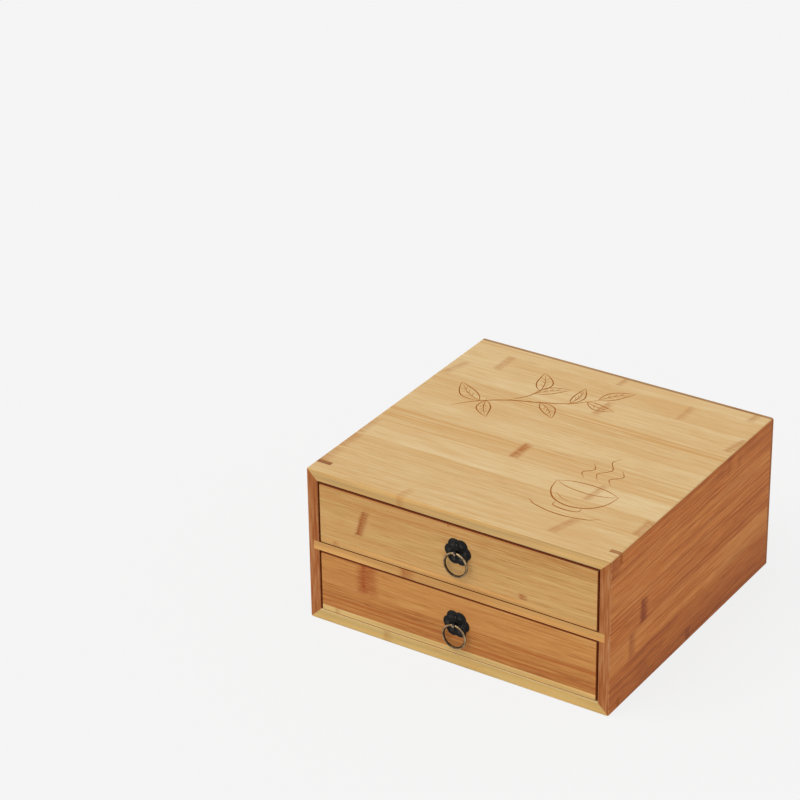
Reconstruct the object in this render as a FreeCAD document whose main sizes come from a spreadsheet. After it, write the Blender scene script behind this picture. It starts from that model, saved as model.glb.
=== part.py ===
import FreeCAD, Part
import os
import re
import Sketcher

# Tea storage box of laminated bamboo: a mitred case with two full-width drawers.
#
# Frame: origin on the ground under the middle of the case, +X to the right, +Z up.
# The drawer fronts face -Y. All sizes are in millimetres.

SIZES = [
    # Case
    ("case_width", 260, "outside, left to right"),
    ("case_depth", 250, "outside, front to back, with the back panel"),
    ("case_height", 130, "outside"),
    ("board_thickness", 9.5, "top, bottom and both sides"),
    ("back_thickness", 3, "sheet planted on the back"),
    ("shelf_thickness", 7, "board between the drawers"),
    ("shelf_housing", 4.8, "depth of the groove that holds each end of the shelf"),
    ("lower_bay", 52, "clear height under the shelf"),
    ("arris_radius", 1.8, "long outside corners of the case"),
    ("front_arris", 0.8, "rounded front edges of the case"),
    # Feather keys across the mitres
    ("key_thickness", 4.2, "along the depth of the case"),
    ("key_setback", 13.5, "middle of each key, from the front edge"),
    ("left_key_leg", 13.5, "length of a left key's edge along either board"),
    ("right_key_leg", 9, "length of a right key's edge along either board"),
    # Drawers
    ("front_thickness", 9, "drawer front"),
    ("wall_thickness", 7, "drawer sides and back"),
    ("floor_thickness", 5, "board planted under the drawer"),
    ("face_corner", 2, "rounded corners of a drawer's face"),
    ("face_bevel", 0.7, "chamfered edges of a drawer's face"),
    ("wall_drop", 3, "drawer walls below the top of the front"),
    ("side_lap", 5, "how far a drawer side enters the end of the front"),
    ("back_housing", 3.5, "depth of the rebate that holds the drawer back"),
    ("rim_radius", 1.2, "rounded top of the drawer walls"),
    ("side_gap", 1, "drawer to case, each side"),
    ("top_gap", 0.9, "above a drawer"),
    ("running_gap", 0.3, "under a drawer"),
    ("stop_gap", 0.5, "behind a closed drawer"),
    # Ring pulls
    ("upper_pull_shift", 2.6, "upper pull, right of the middle of its drawer"),
    ("upper_pull_rise", 4.2, "upper pull, above the middle of its drawer"),
    ("lower_pull_shift", 1, "lower pull, right of the middle of its drawer"),
    ("lower_pull_rise", 1.2, "lower pull, above the middle of its drawer"),
    ("plate_thickness", 0.8, "pressed back plate"),
    ("lobe_count", 6, "lobes round the back plate"),
    ("lobe_pitch", 5.8, "middle of the plate to the middle of a lobe"),
    ("lobe_radius", 5.45, "outline of a lobe"),
    ("lobe_edge", 0.3, "chamfer round the rim of the plate"),
    ("petal_pitch", 6.5, "middle of the plate to the middle of a petal"),
    ("petal_radius", 2.9, "foot of the eight-sided petal pressed up in each lobe"),
    ("petal_height", 0.7, "petal"),
    ("boss_radius", 3.1, "foot of the twelve-sided boss in the middle"),
    ("boss_height", 0.6, "middle boss"),
    ("press_slope", 45, "degrees, by which the petals' and the boss's sides lean in"),
    ("pin_hole", 2.5, "diameter of the hole for the split pin"),
    ("pin_gauge", 0.8, "thickness of the split pin's strip"),
    ("pin_width", 1.8, "width of the split pin's strip"),
    ("pin_spread", 7, "length of each opened leg inside the drawer"),
    ("ring_diameter", 21, "outside of the ring"),
    ("ring_wire", 2, "diameter of the ring's wire"),
    ("ring_play", 0.3, "ring wire to the eye of the pin, all round"),
    ("nail_rise", 6.1, "plate nail, above the split pin"),
    ("nail_length", 6, "shank under the plate"),
    ("nail_shank", 0.9, "side of the square shank, at the head"),
    ("nail_taper", 3, "degrees, by which the shank's sides close in to the point"),
    ("nail_bore", 1.3, "diameter of the nail's hole"),
    ("nail_head_radius", 1.4, "button head"),
    ("nail_head_height", 0.6, "button head"),
    ("nail_seat_gap", 0.15, "head to the wall of its seat in the plate"),
]

# Lengths that several pieces share, worked out from the sizes
BOARD_DEPTH = "(case_depth - back_thickness)"
MITRE_EASE = "(arris_radius * (1 - sqrt(0.5)))"
SHELF_FLOOR = "(board_thickness + lower_bay)"
UPPER_BAY = "(case_height - 2 * board_thickness - shelf_thickness - lower_bay)"
DRAWER_HALF = "(case_width / 2 - board_thickness - side_gap)"
DRAWER_LENGTH = "(case_depth - back_thickness - stop_gap)"
LAP_FACE = "(front_thickness - side_lap)"
WALL_FACE = "(case_width / 2 - board_thickness - side_gap - wall_thickness)"
EYE_RADIUS = "(ring_wire / 2 + ring_play)"
EYE_OUTSIDE = "(ring_wire / 2 + ring_play + pin_gauge)"
EYE_STANDOFF = ("(plate_thickness + boss_height"
                f" + sqrt({EYE_OUTSIDE} ^ 2 - (pin_hole / 2) ^ 2 + (pin_width / 2) ^ 2))")
RING_RADIUS = "((ring_diameter - ring_wire) / 2)"

QUARTER_TURN = 90
PETAL_SIDES = 8
BOSS_SIDES = 12
NAIL_HEAD_SIDES = 8
SHANK_SIDES = 4
WIRE_SIDES = 10

doc = FreeCAD.newDocument("tea_drawer_box")
sheet = doc.addObject("Spreadsheet::Sheet", "Sizes")
for row, (alias, size, note) in enumerate(SIZES, start=1):
    sheet.set(f"A{row}", alias)
    sheet.set(f"B{row}", str(size))
    sheet.setAlias(f"B{row}", alias)
    sheet.set(f"C{row}", note)
doc.recompute()


# ---------------------------------------------------------------- helpers

def bound(formula):
    """The formula with each size name pointing at the sheet."""
    return re.sub(r"[a-z]+(_[a-z]+)+", lambda word: "Sizes." + word.group(0), str(formula))


def value(formula):
    """What a formula comes to now, in millimetres."""
    return float(sheet.evalExpression(str(formula)))


def opposite(formula):
    return f"-({formula})"


def signed(side, formula):
    """The formula for the right-hand side (+1), or its mirror image (-1)."""
    return formula if side > 0 else opposite(formula)


def new_body(name):
    body = doc.addObject("PartDesign::Body", name)
    body.Label = name
    return body


def place(body, x="0", y="0", z="0", axis=(0, 1, 0), turn=0):
    """Put a body at a place given by formulas, turned about an axis."""
    body.Placement = FreeCAD.Placement(
        FreeCAD.Vector(value(x), value(y), value(z)),
        FreeCAD.Rotation(FreeCAD.Vector(*axis), turn))
    for name, formula in (("x", x), ("y", y), ("z", z)):
        body.setExpression(f"Placement.Base.{name}", bound(formula))


def new_sketch(body, name, plane, lift="0"):
    """A sketch on an origin plane of its body, moved along the plane's normal by lift."""
    sketch = body.newObject("Sketcher::SketchObject", f"{body.Name}_{name}")
    origin_plane = next(o for o in body.Origin.OriginFeatures if o.Role == plane)
    sketch.AttachmentSupport = [(origin_plane, "")]
    sketch.MapMode = "FlatFace"
    sketch.setExpression("AttachmentOffset.Base.z", bound(lift))
    return sketch


def fix_point(sketch, geometry, point, x, y):
    """Hold one point of a sketch at formulas for its coordinates."""
    for kind, formula, zero_axis in (("DistanceX", x, -2), ("DistanceY", y, -1)):
        if formula == "0":
            sketch.addConstraint(
                Sketcher.Constraint("PointOnObject", geometry, point, zero_axis))
            continue
        index = sketch.addConstraint(
            Sketcher.Constraint(kind, -1, 1, geometry, point, value(formula)))
        sketch.setExpression(f"Constraints[{index}]", bound(formula))


def add_outline(sketch, corners, arcs=None):
    """A closed outline, counter-clockwise, through corners given by formulas.

    arcs gives the radius of each stretch that bulges outward, by the number of its
    first corner. The other stretches are straight.
    """
    arcs = arcs or {}
    points = [FreeCAD.Vector(value(x), value(y), 0) for x, y in corners]
    count = len(points)
    for i, start in enumerate(points):
        end = points[(i + 1) % count]
        if i not in arcs:
            sketch.addGeometry(Part.LineSegment(start, end))
            continue
        radius = value(arcs[i])
        chord = end - start
        inward = FreeCAD.Vector(-chord.y, chord.x, 0).normalize()
        centre_offset = (radius ** 2 - chord.Length ** 2 / 4) ** 0.5
        crown = (start + end) / 2 - inward * (radius - centre_offset)
        sketch.addGeometry(Part.Arc(start, crown, end))
    for i in range(count):
        sketch.addConstraint(Sketcher.Constraint("Coincident", i, 2, (i + 1) % count, 1))
    for i, (x, y) in enumerate(corners):
        fix_point(sketch, i, 1, x, y)
    for i, radius in arcs.items():
        index = sketch.addConstraint(Sketcher.Constraint("Radius", i, value(radius)))
        sketch.setExpression(f"Constraints[{index}]", bound(radius))
    return sketch


def add_rectangle(sketch, left, right, low, high):
    return add_outline(sketch, [(left, low), (right, low), (right, high), (left, high)])


def add_circle(sketch, x, y, radius):
    centre = FreeCAD.Vector(value(x), value(y), 0)
    circle = sketch.addGeometry(
        Part.Circle(centre, FreeCAD.Vector(0, 0, 1), value(radius)))
    if x == "0" and y == "0":
        sketch.addConstraint(Sketcher.Constraint("Coincident", circle, 3, -1, 1))
    else:
        fix_point(sketch, circle, 3, x, y)
    index = sketch.addConstraint(Sketcher.Constraint("Radius", circle, value(radius)))
    sketch.setExpression(f"Constraints[{index}]", bound(radius))
    return sketch


def add_polygon(sketch, x, y, inner_radius, sides):
    """A regular polygon about (x, y), with flats on its left and right."""
    corner = f"{inner_radius} / cos(180 / {sides})"
    angles = [360 / sides * (i + 0.5) for i in range(sides)]
    return add_outline(sketch, [
        (f"({x} + {corner} * cos({angle}))", f"({y} + {corner} * sin({angle}))")
        for angle in angles])


def pad(sketch, length, reverse=False, both_ways=False, lean=None):
    """Raise a sketch into a solid along its normal, or against it.

    lean gives the degrees by which the sides close in as they rise.
    """
    body = sketch.getParentGeoFeatureGroup()
    feature = body.newObject("PartDesign::Pad", f"{sketch.Name}_pad")
    feature.Profile = sketch
    feature.Reversed = reverse
    if both_ways:
        feature.SideType = "Symmetric"
    if lean is not None:
        feature.setExpression("TaperAngle", bound(opposite(lean)))
    feature.setExpression("Length", bound(length))
    sketch.Visibility = False
    doc.recompute()
    return feature


def pocket(sketch, depth=None, reverse=False):
    """Cut a sketch out of its body, to a depth, or through all of it both ways."""
    body = sketch.getParentGeoFeatureGroup()
    before = body.Shape.Volume
    feature = body.newObject("PartDesign::Pocket", f"{sketch.Name}_pocket")
    feature.Profile = sketch
    feature.Reversed = reverse
    if depth is None:
        feature.Type = "ThroughAll"
        feature.SideType = "Symmetric"
    else:
        feature.setExpression("Length", bound(depth))
    doc.recompute()
    if not body.Shape.Volume < before:
        raise RuntimeError(f"{feature.Name} cuts nothing")
    return feature


def revolve(sketch, axis):
    """Turn a sketch all the way round one of its own axes."""
    body = sketch.getParentGeoFeatureGroup()
    feature = body.newObject("PartDesign::Revolution", f"{sketch.Name}_revolution")
    feature.Profile = sketch
    feature.ReferenceAxis = (sketch, [axis])
    feature.Angle = 360
    doc.recompute()
    return feature


def repeat_round(feature, body, count):
    """Repeat a feature in a ring about the body's Y axis."""
    y_axis = next(o for o in body.Origin.OriginFeatures if o.Role == "Y_Axis")
    pattern = body.newObject("PartDesign::PolarPattern", f"{feature.Name}_ring")
    pattern.Originals = [feature]
    pattern.Axis = (y_axis, [""])
    pattern.Angle = 360
    pattern.setExpression("Occurrences", bound(count))
    body.Tip = pattern
    doc.recompute()
    return pattern


def ease_edges(body, size, chosen, kind="Fillet"):
    """Round or chamfer the edges of the body's last feature that pass the test."""
    base = body.Tip
    names = [f"Edge{i}" for i, edge in enumerate(base.Shape.Edges, start=1) if chosen(edge)]
    if not names:
        raise RuntimeError(f"{body.Name} has no edge to ease")
    feature = body.newObject(f"PartDesign::{kind}", f"{base.Name}_{kind.lower()}")
    feature.Base = (base, names)
    feature.setExpression("Radius" if kind == "Fillet" else "Size", bound(size))
    doc.recompute()
    return feature


def near(first, second):
    return abs(first - second) < 1e-4


def lies_at(edge, **places):
    """Whether the whole edge lies at the given coordinates, such as y=0."""
    points = edge.discretize(3)
    return all(near(getattr(point, axis), place)
               for axis, place in places.items() for point in points)


# ---------------------------------------------------------------- case

def is_mitre_edge(edge):
    """Whether an edge is a straight one at 45 degrees in a board's section."""
    if not isinstance(edge.Curve, Part.Line):
        return False
    direction = edge.Curve.Direction
    return near(abs(direction.x), abs(direction.z)) and near(direction.y, 0)


def make_case_board(name, length, key_legs):
    """A board with mitred ends and a slot for a key across each mitre.

    It is drawn with its outer face up at z = 0, its front edge at y = 0 and its length
    along X. key_legs gives the slots' lengths at its -X and +X ends.
    """
    body = new_body(name)
    half = f"{length} / 2"
    section = new_sketch(body, "section", "XZ_Plane")
    inner_end = f"({half} - board_thickness)"
    ease_end = f"({half} - {MITRE_EASE})"
    arc_end = f"({half} - arris_radius)"
    add_outline(
        section,
        [
            (opposite(inner_end), "-board_thickness"),
            (inner_end, "-board_thickness"),
            (ease_end, opposite(MITRE_EASE)),
            (arc_end, "0"),
            (opposite(arc_end), "0"),
            (opposite(ease_end), opposite(MITRE_EASE)),
        ],
        arcs={2: "arris_radius", 4: "arris_radius"})
    pad(section, BOARD_DEPTH, reverse=True)
    ease_edges(body, "front_arris", lambda e: lies_at(e, y=0) and not is_mitre_edge(e))

    for end, leg in zip((-1, 1), key_legs):
        label = "left_slot" if end < 0 else "right_slot"
        slot = new_sketch(body, label, "XZ_Plane", lift="key_thickness / 2 - key_setback")
        corners = [
            (signed(end, f"({half} - {leg})"), "0"),
            (signed(end, f"({half} - {leg} / 2)"), f"-{leg} / 2"),
            (signed(end, f"({half})"), "0"),
        ]
        add_outline(slot, corners if end > 0 else corners[::-1])
        pocket(slot, "key_thickness")
    return body


def cut_shelf_groove(body, side):
    """Cut the through groove for the shelf into the inner face of a case side."""
    # A side lies with its -X end at the top of the case on the right, and the other way
    # round on the left, so the shelf's two faces swap over.
    shelf_low = f"(case_height / 2 - {SHELF_FLOOR})"
    shelf_high = f"(case_height / 2 - {SHELF_FLOOR} - shelf_thickness)"
    groove = new_sketch(body, "groove", "XZ_Plane")
    left, right = (shelf_high, shelf_low) if side > 0 else (
        opposite(shelf_low), opposite(shelf_high))
    add_rectangle(groove, left, right, "-board_thickness", "shelf_housing - board_thickness")
    pocket(groove)


def make_case_boards():
    front = "-case_depth / 2"

    top = make_case_board("top_panel", "case_width", ("left_key_leg", "right_key_leg"))
    place(top, y=front, z="case_height")

    bottom = make_case_board("bottom_panel", "case_width", ("right_key_leg", "left_key_leg"))
    place(bottom, y=front, turn=2 * QUARTER_TURN)

    for name, side in (("left_side", -1), ("right_side", 1)):
        leg = "right_key_leg" if side > 0 else "left_key_leg"
        board = make_case_board(name, "case_height", (leg, leg))
        cut_shelf_groove(board, side)
        place(board, x=signed(side, "case_width / 2"), y=front, z="case_height / 2",
              turn=side * QUARTER_TURN)


def make_middle_shelf():
    """The board between the drawers, its ends let into the case sides."""
    body = new_body("middle_shelf")
    end = "(case_width / 2 - board_thickness + shelf_housing)"
    section = new_sketch(body, "section", "XZ_Plane")
    add_rectangle(section, opposite(end), end, "0", "shelf_thickness")
    pad(section, BOARD_DEPTH, reverse=True)
    place(body, y="-case_depth / 2", z=SHELF_FLOOR)


def make_back_panel():
    """A sheet planted on the back edges of the four boards, flush all round."""
    body = new_body("back_panel")
    outline = new_sketch(body, "outline", "XZ_Plane")
    add_rectangle(outline, "-case_width / 2", "case_width / 2", "0", "case_height")
    pad(outline, "back_thickness")
    ease_edges(body, "arris_radius",
                lambda e: isinstance(e.Curve, Part.Line) and near(abs(e.Curve.Direction.y), 1))
    place(body, y="case_depth / 2")


def make_corner_keys():
    """Feather keys let in across the mitres, trimmed flush with the case."""
    # The key is drawn at the top right corner and turned to the other three.
    corners = (
        ("corner_key_top_right", 1, "case_height", "right_key_leg", 0),
        ("corner_key_bottom_right", 1, "0", "right_key_leg", QUARTER_TURN),
        ("corner_key_bottom_left", -1, "0", "left_key_leg", 2 * QUARTER_TURN),
        ("corner_key_top_left", -1, "case_height", "left_key_leg", -QUARTER_TURN),
    )
    for name, side, height, leg, turn in corners:
        body = new_body(name)
        section = new_sketch(body, "section", "XZ_Plane", lift="key_thickness / 2 - key_setback")
        add_outline(
            section,
            [(f"-{leg}", "0"), ("0", f"-{leg}"), ("0", "-arris_radius"), ("-arris_radius", "0")],
            arcs={2: "arris_radius"})
        pad(section, "key_thickness", reverse=True)
        place(body, x=signed(side, "case_width / 2"), y="-case_depth / 2", z=height, turn=turn)


# ---------------------------------------------------------------- drawers
# A drawer is drawn with its front face at y = 0, its underside at z = 0 and X centred.

def round_face(body, outer_edge, seam):
    """Round the two corners of a drawer's face at one height, and chamfer its edges.

    The seam between the front and the floor stays sharp.
    """
    half = value(DRAWER_HALF)
    ease_edges(body, "face_corner",
               lambda e: any(lies_at(e, x=side * half, z=outer_edge) for side in (-1, 1)))
    ease_edges(body, "face_bevel",
               lambda e: lies_at(e, y=0) and not lies_at(e, z=seam), kind="Chamfer")


def make_drawer_front(name, height, pull_shift, pull_height):
    """The front: rebated behind both ends, bored for the split pin and the nail."""
    body = new_body(name)
    face = new_sketch(body, "face", "XZ_Plane")
    add_rectangle(face, opposite(DRAWER_HALF), DRAWER_HALF, "floor_thickness", height)
    pad(face, "front_thickness", reverse=True)
    round_face(body, value(height), value("floor_thickness"))

    for side in (-1, 1):
        rebate = new_sketch(body, "left_rebate" if side < 0 else "right_rebate", "XY_Plane")
        ends = [signed(side, WALL_FACE), signed(side, DRAWER_HALF)][::side]
        add_rectangle(rebate, *ends, LAP_FACE, "front_thickness")
        pocket(rebate)

    pin_bore = new_sketch(body, "pin_bore", "XZ_Plane")
    pocket(add_circle(pin_bore, pull_shift, pull_height, "pin_hole / 2"))
    nail_bore = new_sketch(body, "nail_bore", "XZ_Plane")
    add_circle(nail_bore, pull_shift, f"({pull_height} + nail_rise)", "nail_bore / 2")
    pocket(nail_bore, "nail_length")
    return body


def make_drawer_floor(name):
    """The floor, planted under the front and the walls, its front edge on show."""
    body = new_body(name)
    outline = new_sketch(body, "outline", "XY_Plane")
    add_rectangle(outline, opposite(DRAWER_HALF), DRAWER_HALF, "0", DRAWER_LENGTH)
    pad(outline, "floor_thickness")
    round_face(body, 0, value("floor_thickness"))
    return body


def round_rim(body, rim):
    """Round the long top edges of a drawer wall."""
    def on_rim(edge):
        return lies_at(edge, z=rim) and edge.Length > 2 * value("wall_thickness")
    ease_edges(body, "rim_radius", on_rim)


def make_drawer_side(name, side, wall_height):
    """A side, lapped into the front and rebated behind for the back."""
    body = new_body(name)
    plan = new_sketch(body, "plan", "XY_Plane", lift="floor_thickness")
    inner, outer = signed(side, WALL_FACE), signed(side, DRAWER_HALF)
    housed = signed(side, f"({WALL_FACE} + back_housing)")
    back_face = f"({DRAWER_LENGTH} - wall_thickness)"
    corners = [
        (inner, LAP_FACE), (outer, LAP_FACE), (outer, DRAWER_LENGTH),
        (housed, DRAWER_LENGTH), (housed, back_face), (inner, back_face),
    ]
    add_outline(plan, corners[::side])
    pad(plan, wall_height)
    round_rim(body, value(wall_height) + value("floor_thickness"))
    return body


def make_drawer_back(name, wall_height):
    """The back, its ends in the rebates of the sides."""
    body = new_body(name)
    plan = new_sketch(body, "plan", "XY_Plane", lift="floor_thickness")
    end = f"({WALL_FACE} + back_housing)"
    add_rectangle(plan, opposite(end), end,
                  f"({DRAWER_LENGTH} - wall_thickness)", DRAWER_LENGTH)
    pad(plan, wall_height)
    round_rim(body, value(wall_height) + value("floor_thickness"))
    return body


def make_drawer(name, bay_floor, bay_height, pull_shift, pull_rise):
    height = f"({bay_height} - running_gap - top_gap)"
    wall_height = f"({height} - floor_thickness - wall_drop)"
    pull_height = f"({height} / 2 + {pull_rise})"
    pieces = [
        make_drawer_front(f"{name}_front", height, pull_shift, pull_height),
        make_drawer_side(f"{name}_left_wall", -1, wall_height),
        make_drawer_side(f"{name}_right_wall", 1, wall_height),
        make_drawer_back(f"{name}_back_wall", wall_height),
        make_drawer_floor(f"{name}_floor"),
    ]
    underside = f"({bay_floor} + running_gap)"
    for piece in pieces:
        place(piece, y="-case_depth / 2", z=underside)
    make_ring_pull(name, pull_shift, f"({underside} + {pull_height})")


# ---------------------------------------------------------------- ring pulls
# A pull is drawn with the drawer's face at y = 0 and the split pin on the Y axis.

def make_pull_plate(name):
    """Pressed plate: scalloped outline, a petal in each lobe and a boss in the middle."""
    body = new_body(name)
    # The plain disc reaches the lobes' middles, so the lobes close over it.
    core = new_sketch(body, "core", "XZ_Plane")
    pad(add_circle(core, "0", "0", "lobe_pitch"), "plate_thickness")
    lobe = new_sketch(body, "lobe", "XZ_Plane")
    lobe_pad = pad(add_circle(lobe, "lobe_pitch", "0", "lobe_radius"), "plate_thickness")
    repeat_round(lobe_pad, body, "lobe_count")
    face = -value("plate_thickness")
    ease_edges(body, "lobe_edge", lambda e: lies_at(e, y=face), kind="Chamfer")

    petal = new_sketch(body, "petal", "XZ_Plane", lift="plate_thickness")
    add_polygon(petal, "petal_pitch", "0", "petal_radius", PETAL_SIDES)
    repeat_round(pad(petal, "petal_height", lean="press_slope"), body, "lobe_count")

    boss = new_sketch(body, "boss", "XZ_Plane", lift="plate_thickness")
    pad(add_polygon(boss, "0", "0", "boss_radius", BOSS_SIDES), "boss_height", lean="press_slope")

    # The nail sits in a flat pressed round its hole.
    seat = new_sketch(body, "nail_seat", "XZ_Plane", lift="plate_thickness")
    add_circle(seat, "0", "nail_rise", "nail_head_radius + nail_seat_gap")
    pocket(seat, "petal_height + boss_height", reverse=True)
    nail_hole = new_sketch(body, "nail_hole", "XZ_Plane")
    pocket(add_circle(nail_hole, "0", "nail_rise", "nail_bore / 2"))
    pin_hole = new_sketch(body, "pin_hole", "XZ_Plane")
    pocket(add_circle(pin_hole, "0", "0", "pin_hole / 2"))
    return body


def make_split_pin(name):
    """Doubled strip: an eye in front, two legs through the board, opened behind it."""
    body = new_body(name)
    eye_place = opposite(EYE_STANDOFF)
    eye = new_sketch(body, "eye", "YZ_Plane")
    pad(add_circle(eye, eye_place, "0", EYE_OUTSIDE), "pin_width", both_ways=True)
    legs = new_sketch(body, "legs", "YZ_Plane")
    add_rectangle(legs, eye_place, "front_thickness", "-pin_gauge", "pin_gauge")
    pad(legs, "pin_width", both_ways=True)
    spread = new_sketch(body, "spread", "YZ_Plane")
    add_rectangle(spread, "front_thickness", "(front_thickness + pin_gauge)",
                  "-pin_gauge - pin_spread", "(pin_gauge + pin_spread)")
    pad(spread, "pin_width", both_ways=True)
    bore = new_sketch(body, "eye_bore", "YZ_Plane")
    pocket(add_circle(bore, eye_place, "0", EYE_RADIUS))
    return body


def make_plate_nail(name):
    """A nail with a square, tapered shank, its head on the plate."""
    body = new_body(name)
    head = new_sketch(body, "head", "XZ_Plane", lift="plate_thickness")
    add_polygon(head, "0", "0", "nail_head_radius", NAIL_HEAD_SIDES)
    pad(head, "nail_head_height", lean="press_slope")
    shank = new_sketch(body, "shank", "XZ_Plane", lift="plate_thickness")
    add_polygon(shank, "0", "0", "nail_shank / 2", SHANK_SIDES)
    pad(shank, "(plate_thickness + nail_length)", reverse=True, lean="nail_taper")
    return body


def make_ring(name, x, y, z):
    """The ring, hanging with the top of its wire in the eye."""
    body = new_body(name)
    section = new_sketch(body, "section", "XY_Plane")
    add_polygon(section, RING_RADIUS, "0", "ring_wire / 2", WIRE_SIDES)
    revolve(section, "V_Axis")
    place(body, x, y, f"({z} - {RING_RADIUS})")


def make_ring_pull(name, shift, height):
    face = "-case_depth / 2"
    place(make_pull_plate(f"{name}_pull_plate"), shift, face, height)
    place(make_split_pin(f"{name}_split_pin"), shift, face, height)
    place(make_plate_nail(f"{name}_plate_nail"), shift, face, f"({height} + nail_rise)")
    make_ring(f"{name.replace('_drawer', '')}_ring", shift, f"({face} - {EYE_STANDOFF})", height)


# ---------------------------------------------------------------- assembly

def pieces():
    return [thing for thing in doc.Objects if thing.TypeId == "PartDesign::Body"]


def check_document():
    """Stop if any object failed, or any piece isn't one sound solid."""
    for thing in doc.Objects:
        if {"Invalid", "Error"} & set(thing.State):
            raise RuntimeError(f"{thing.Name} failed: {thing.State}")
    for piece in pieces():
        if piece.Shape.isNull() or not piece.Shape.isValid() or len(piece.Shape.Solids) != 1:
            raise RuntimeError(f"{piece.Label} is not one sound solid")


def write_pieces():
    os.makedirs("parts", exist_ok=True)
    for piece in pieces():
        piece.Shape.exportStep(f"parts/{piece.Label}.step")
        print(f"{piece.Label}: {piece.Shape.Volume:.0f} mm3")


make_case_boards()
make_middle_shelf()
make_back_panel()
make_corner_keys()
make_drawer("upper_drawer", f"({SHELF_FLOOR} + shelf_thickness)", UPPER_BAY,
            "upper_pull_shift", "upper_pull_rise")
make_drawer("lower_drawer", "board_thickness", "lower_bay",
            "lower_pull_shift", "lower_pull_rise")
doc.recompute()
check_document()
write_pieces()
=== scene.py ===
import math
from typing import NamedTuple

import bpy
from mathutils import Matrix, Vector


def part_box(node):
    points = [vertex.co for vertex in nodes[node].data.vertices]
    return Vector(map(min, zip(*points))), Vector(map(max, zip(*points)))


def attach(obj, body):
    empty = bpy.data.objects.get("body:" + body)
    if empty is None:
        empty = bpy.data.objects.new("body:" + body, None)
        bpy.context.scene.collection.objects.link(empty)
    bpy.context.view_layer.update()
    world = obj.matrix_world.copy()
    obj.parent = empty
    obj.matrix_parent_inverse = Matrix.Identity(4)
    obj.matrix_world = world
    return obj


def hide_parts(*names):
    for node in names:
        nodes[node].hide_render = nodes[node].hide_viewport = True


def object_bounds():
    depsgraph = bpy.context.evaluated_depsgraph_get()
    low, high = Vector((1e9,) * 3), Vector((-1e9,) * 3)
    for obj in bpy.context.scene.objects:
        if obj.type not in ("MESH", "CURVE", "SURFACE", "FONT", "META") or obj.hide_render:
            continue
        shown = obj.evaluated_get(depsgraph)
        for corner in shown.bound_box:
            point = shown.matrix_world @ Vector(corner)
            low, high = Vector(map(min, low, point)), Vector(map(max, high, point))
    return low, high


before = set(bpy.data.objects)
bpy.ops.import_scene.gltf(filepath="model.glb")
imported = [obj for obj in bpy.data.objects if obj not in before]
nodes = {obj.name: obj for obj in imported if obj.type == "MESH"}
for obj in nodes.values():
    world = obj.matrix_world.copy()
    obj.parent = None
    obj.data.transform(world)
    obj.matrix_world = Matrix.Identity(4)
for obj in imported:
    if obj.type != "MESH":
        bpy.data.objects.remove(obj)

# Looks of a tea drawer box: laminated bamboo boards, a lid with shallow carving, and two
# ring pulls of blackened steel and brass. Everything is in metres in the model's frame:
# the drawer fronts face -Y, +X is to their right and +Z is up.

MM = 0.001
AXES = "XYZ"
cad_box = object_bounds()


# ---------------------------------------------------------------- node graphs

def srgb(red, green, blue):
    """A colour written as 0 to 255, made linear for a colour socket."""
    def linear(level):
        share = level / 255
        return share / 12.92 if share <= 0.04045 else ((share + 0.055) / 1.055) ** 2.4
    return (linear(red), linear(green), linear(blue), 1.0)


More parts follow.
